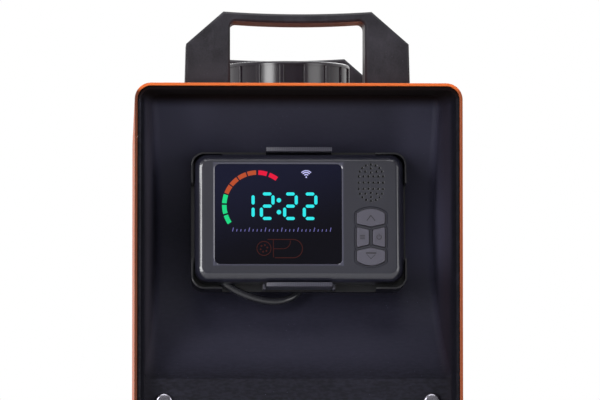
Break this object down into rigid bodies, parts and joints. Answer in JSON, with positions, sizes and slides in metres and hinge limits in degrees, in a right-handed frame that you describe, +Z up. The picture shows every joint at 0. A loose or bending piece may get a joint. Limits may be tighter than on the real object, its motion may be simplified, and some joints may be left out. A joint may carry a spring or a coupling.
{
  "type": "diesel air heater",
  "caption": "Free-standing diesel air heater: fuel tank, dosing pump and burner unit in an upright case, with a controller in a recessed front, carrying handles and a louvred vent.",
  "frame": {"origin": "middle of the footprint, on the surface that the four feet stand on", "axes": "+Z up, -Y out of the front, +X to the right seen from the front"},
  "size_m": [0.1836, 0.4, 0.456],
  "materials": {
    "shell_paint": "orange powder coat, satin",
    "black_steel": "black powder coat",
    "zinc_steel": "bright zinc plate",
    "steel": "bare ground steel",
    "moulding_black": "fine-grained black moulding",
    "handle_plastic": "grained charcoal moulding",
    "cap_plastic": "semi-gloss charcoal moulding",
    "controller_plastic": "semi-gloss dark grey moulding",
    "key_plastic": "matt grey keys",
    "window": "dark tinted window",
    "board": "green board",
    "rubber": "black rubber",
    "cable": "semi-gloss black cable",
    "fuel_hose": "green nylon fuel line",
    "tank_plastic": "black blow-moulded plastic",
    "unit_plastic": "black glass-filled plastic",
    "filter_plastic": "milky fuel-filter plastic",
    "cast_alloy": "as-cast aluminium",
    "gasket": "fibre gasket",
    "duct": "black duct sleeve",
    "brass": "plain brass"
  },
  "bodies": {
    "case": {"shell": "shell_paint", "base_plate": "black_steel", "feet": "rubber", "foot_screws": "zinc_steel", "handle_front": "handle_plastic", "handle_rear": "handle_plastic", "case_screws": "zinc_steel", "small_screws": "zinc_steel", "fascia": "moulding_black", "rear_cover": "moulding_black", "power_socket": "unit_plastic", "controller_front": "controller_plastic", "controller_back": "controller_plastic", "display_window": "window", "controller_board": "board", "controller_holder": "controller_plastic", "controller_lead": "cable", "lead_grommet": "rubber", "lead_plug": "unit_plastic", "tank_shelf": "black_steel", "fuel_tank": "tank_plastic", "pickup_pipe": "unit_plastic", "pump_body": "steel", "pump_spring": "steel", "pump_holder": "rubber", "fuel_filter": "filter_plastic", "tank_hose": "fuel_hose", "filter_hose": "fuel_hose", "pump_hose": "fuel_hose", "harness": "cable", "power_lead": "cable", "unit_lower_shell": "unit_plastic", "unit_upper_shell": "unit_plastic", "heat_exchanger": "cast_alloy", "heat_sensor": "brass", "burner": "steel", "glow_plug": "steel", "blower_case": "cast_alloy", "fan_motor": "steel", "control_unit": "unit_plastic", "port_gasket": "gasket", "exhaust_stub": "steel", "intake_stub": "unit_plastic", "outlet_duct": "duct", "vent_ring": "moulding_black"},
    "cap_seal": {"cap_seal": "rubber"},
    "fuel_cap": {"fuel_cap": "cap_plastic"},
    "vent_barrel": {"vent_barrel": "moulding_black"},
    "rotor": {"motor_shaft": "steel", "blower_wheel": "cast_alloy", "air_fan": "unit_plastic"},
    "pump_plunger": {"pump_plunger": "brass"},
    "key_up": {"key_up": "key_plastic"},
    "key_down": {"key_down": "key_plastic"},
    "key_left": {"key_left": "key_plastic"},
    "key_right": {"key_right": "key_plastic"},
    "vent_blade_1": {"vent_blade_1": "moulding_black"},
    "vent_blade_2": {"vent_blade_2": "moulding_black"},
    "vent_blade_3": {"vent_blade_3": "moulding_black"},
    "vent_blade_4": {"vent_blade_4": "moulding_black"}
  },
  "joints": [
    {"name": "key_up_press", "type": "slide", "parent": "case", "child": "key_up", "axis": [0, 0.9962, -0.0872], "range_m": [0, 0.0006], "stiffness_N_per_m": 1000, "springref_m": -0.0006},
    {"name": "key_down_press", "type": "slide", "parent": "case", "child": "key_down", "axis": [0, 0.9962, -0.0872], "range_m": [0, 0.0006], "stiffness_N_per_m": 1000, "springref_m": -0.0006},
    {"name": "key_left_press", "type": "slide", "parent": "case", "child": "key_left", "axis": [0, 0.9962, -0.0872], "range_m": [0, 0.0006], "stiffness_N_per_m": 1000, "springref_m": -0.0006},
    {"name": "key_right_press", "type": "slide", "parent": "case", "child": "key_right", "axis": [0, 0.9962, -0.0872], "range_m": [0, 0.0006], "stiffness_N_per_m": 1000, "springref_m": -0.0006},
    {"name": "vent_turn", "type": "hinge", "parent": "case", "child": "vent_barrel", "pos_m": [0, -0.1844, 0.0926], "axis": [0, 1, 0], "continuous": true},
    {"name": "blade_1_tilt", "type": "hinge", "parent": "vent_barrel", "child": "vent_blade_1", "pos_m": [0, -0.1844, 0.0686], "axis": [1, 0, 0], "range_deg": [-45, 45]},
    {"name": "blade_2_tilt", "type": "hinge", "parent": "vent_barrel", "child": "vent_blade_2", "pos_m": [0, -0.1844, 0.0846], "axis": [1, 0, 0], "range_deg": [-45, 45]},
    {"name": "blade_3_tilt", "type": "hinge", "parent": "vent_barrel", "child": "vent_blade_3", "pos_m": [0, -0.1844, 0.1006], "axis": [1, 0, 0], "range_deg": [-45, 45]},
    {"name": "blade_4_tilt", "type": "hinge", "parent": "vent_barrel", "child": "vent_blade_4", "pos_m": [0, -0.1844, 0.1166], "axis": [1, 0, 0], "range_deg": [-45, 45]},
    {"name": "fan_spin", "type": "hinge", "parent": "case", "child": "rotor", "pos_m": [0, 0.115, 0.0926], "axis": [0, 1, 0], "continuous": true},
    {"name": "cap_lift", "type": "slide", "parent": "case", "child": "cap_seal", "axis": [0, 0, 1], "range_m": [0, 0.012]},
    {"name": "cap_turn", "type": "hinge", "parent": "cap_seal", "child": "fuel_cap", "pos_m": [0, 0, 0.43], "axis": [0, 0, 1], "range_deg": [0, 720]},
    {"name": "pump_stroke", "type": "slide", "parent": "case", "child": "pump_plunger", "axis": [0, 0, 1], "range_m": [0, 0.003], "stiffness_N_per_m": 400, "springref_m": -0.004, "deforming": ["pump_spring"]}
  ],
  "couplings": [
    {"joint": "blade_2_tilt", "follows": "blade_1_tilt", "ratio": 1},
    {"joint": "blade_3_tilt", "follows": "blade_1_tilt", "ratio": 1},
    {"joint": "blade_4_tilt", "follows": "blade_1_tilt", "ratio": 1},
    {"joint": "cap_lift", "follows": "cap_turn", "m_per_rad": 0.000954}
  ]
}
